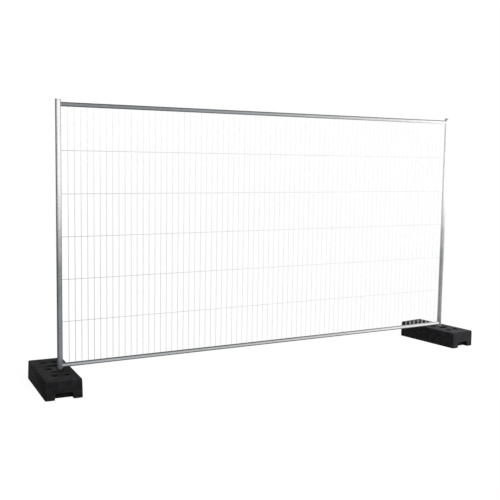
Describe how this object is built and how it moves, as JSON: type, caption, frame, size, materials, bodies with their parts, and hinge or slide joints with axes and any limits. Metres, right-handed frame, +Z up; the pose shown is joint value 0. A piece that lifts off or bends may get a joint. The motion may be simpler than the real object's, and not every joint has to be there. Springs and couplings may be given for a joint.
{
  "type": "temporary fence panel",
  "caption": "Welded tube frame with a wire mesh, standing in loose moulded block feet that swivel about its uprights and take neighbouring panels in spare sockets.",
  "frame": {"origin": "centre of the footprint of both feet, on the ground", "axes": "+X along the panel towards its right-hand upright, +Y away from the front, through the mesh, +Z up along the uprights"},
  "size_m": [3.7634, 0.6398, 1.985],
  "materials": {
    "galvanised_tube": "hot-dip galvanised, softly mottled grey",
    "weld_bead": "galvanised weld bead, rough",
    "galvanised_wire": "galvanised wire, bright grey",
    "black_foot": "moulded recycled rubber, matt black and slightly grainy"
  },
  "bodies": {
    "panel": {"left_upright": "galvanised_tube", "right_upright": "galvanised_tube", "top_rail": "galvanised_tube", "bottom_rail": "galvanised_tube", "top_left_weld": "weld_bead", "top_right_weld": "weld_bead", "bottom_left_weld": "weld_bead", "bottom_right_weld": "weld_bead", "horizontal_wire_1": "galvanised_wire", "horizontal_wire_2": "galvanised_wire", "horizontal_wire_3": "galvanised_wire", "horizontal_wire_4": "galvanised_wire", "horizontal_wire_5": "galvanised_wire", "vertical_wires_01": "galvanised_wire", "vertical_wires_02": "galvanised_wire", "vertical_wires_03": "galvanised_wire", "vertical_wires_04": "galvanised_wire", "vertical_wires_05": "galvanised_wire", "vertical_wires_06": "galvanised_wire", "vertical_wires_07": "galvanised_wire", "vertical_wires_08": "galvanised_wire", "vertical_wires_09": "galvanised_wire", "vertical_wires_10": "galvanised_wire", "vertical_wires_11": "galvanised_wire", "vertical_wires_12": "galvanised_wire", "vertical_wires_13": "galvanised_wire", "vertical_wires_14": "galvanised_wire", "vertical_wires_15": "galvanised_wire", "vertical_wires_16": "galvanised_wire", "vertical_wires_17": "galvanised_wire", "vertical_wires_18": "galvanised_wire", "vertical_wires_19": "galvanised_wire", "vertical_wires_20": "galvanised_wire", "vertical_wires_21": "galvanised_wire", "vertical_wires_22": "galvanised_wire", "vertical_wires_23": "galvanised_wire", "vertical_wires_24": "galvanised_wire", "vertical_wires_25": "galvanised_wire", "vertical_wires_26": "galvanised_wire", "vertical_wires_27": "galvanised_wire", "vertical_wires_28": "galvanised_wire", "vertical_wires_29": "galvanised_wire", "vertical_wires_30": "galvanised_wire", "vertical_wires_31": "galvanised_wire", "vertical_wires_32": "galvanised_wire", "vertical_wires_33": "galvanised_wire", "vertical_wires_34": "galvanised_wire", "vertical_wires_35": "galvanised_wire", "vertical_wires_36": "galvanised_wire", "vertical_wires_37": "galvanised_wire"},
    "left_foot": {"left_foot": "black_foot"},
    "right_foot": {"right_foot": "black_foot"}
  },
  "joints": [
    {"name": "left_foot_swivel", "type": "hinge", "parent": "panel", "child": "left_foot", "pos_m": [-1.70106, 0.00461, 0], "axis": [0, 0, 1], "continuous": true},
    {"name": "right_foot_swivel", "type": "hinge", "parent": "panel", "child": "right_foot", "pos_m": [1.76094, 0.00461, 0], "axis": [0, 0, 1], "continuous": true}
  ]
}
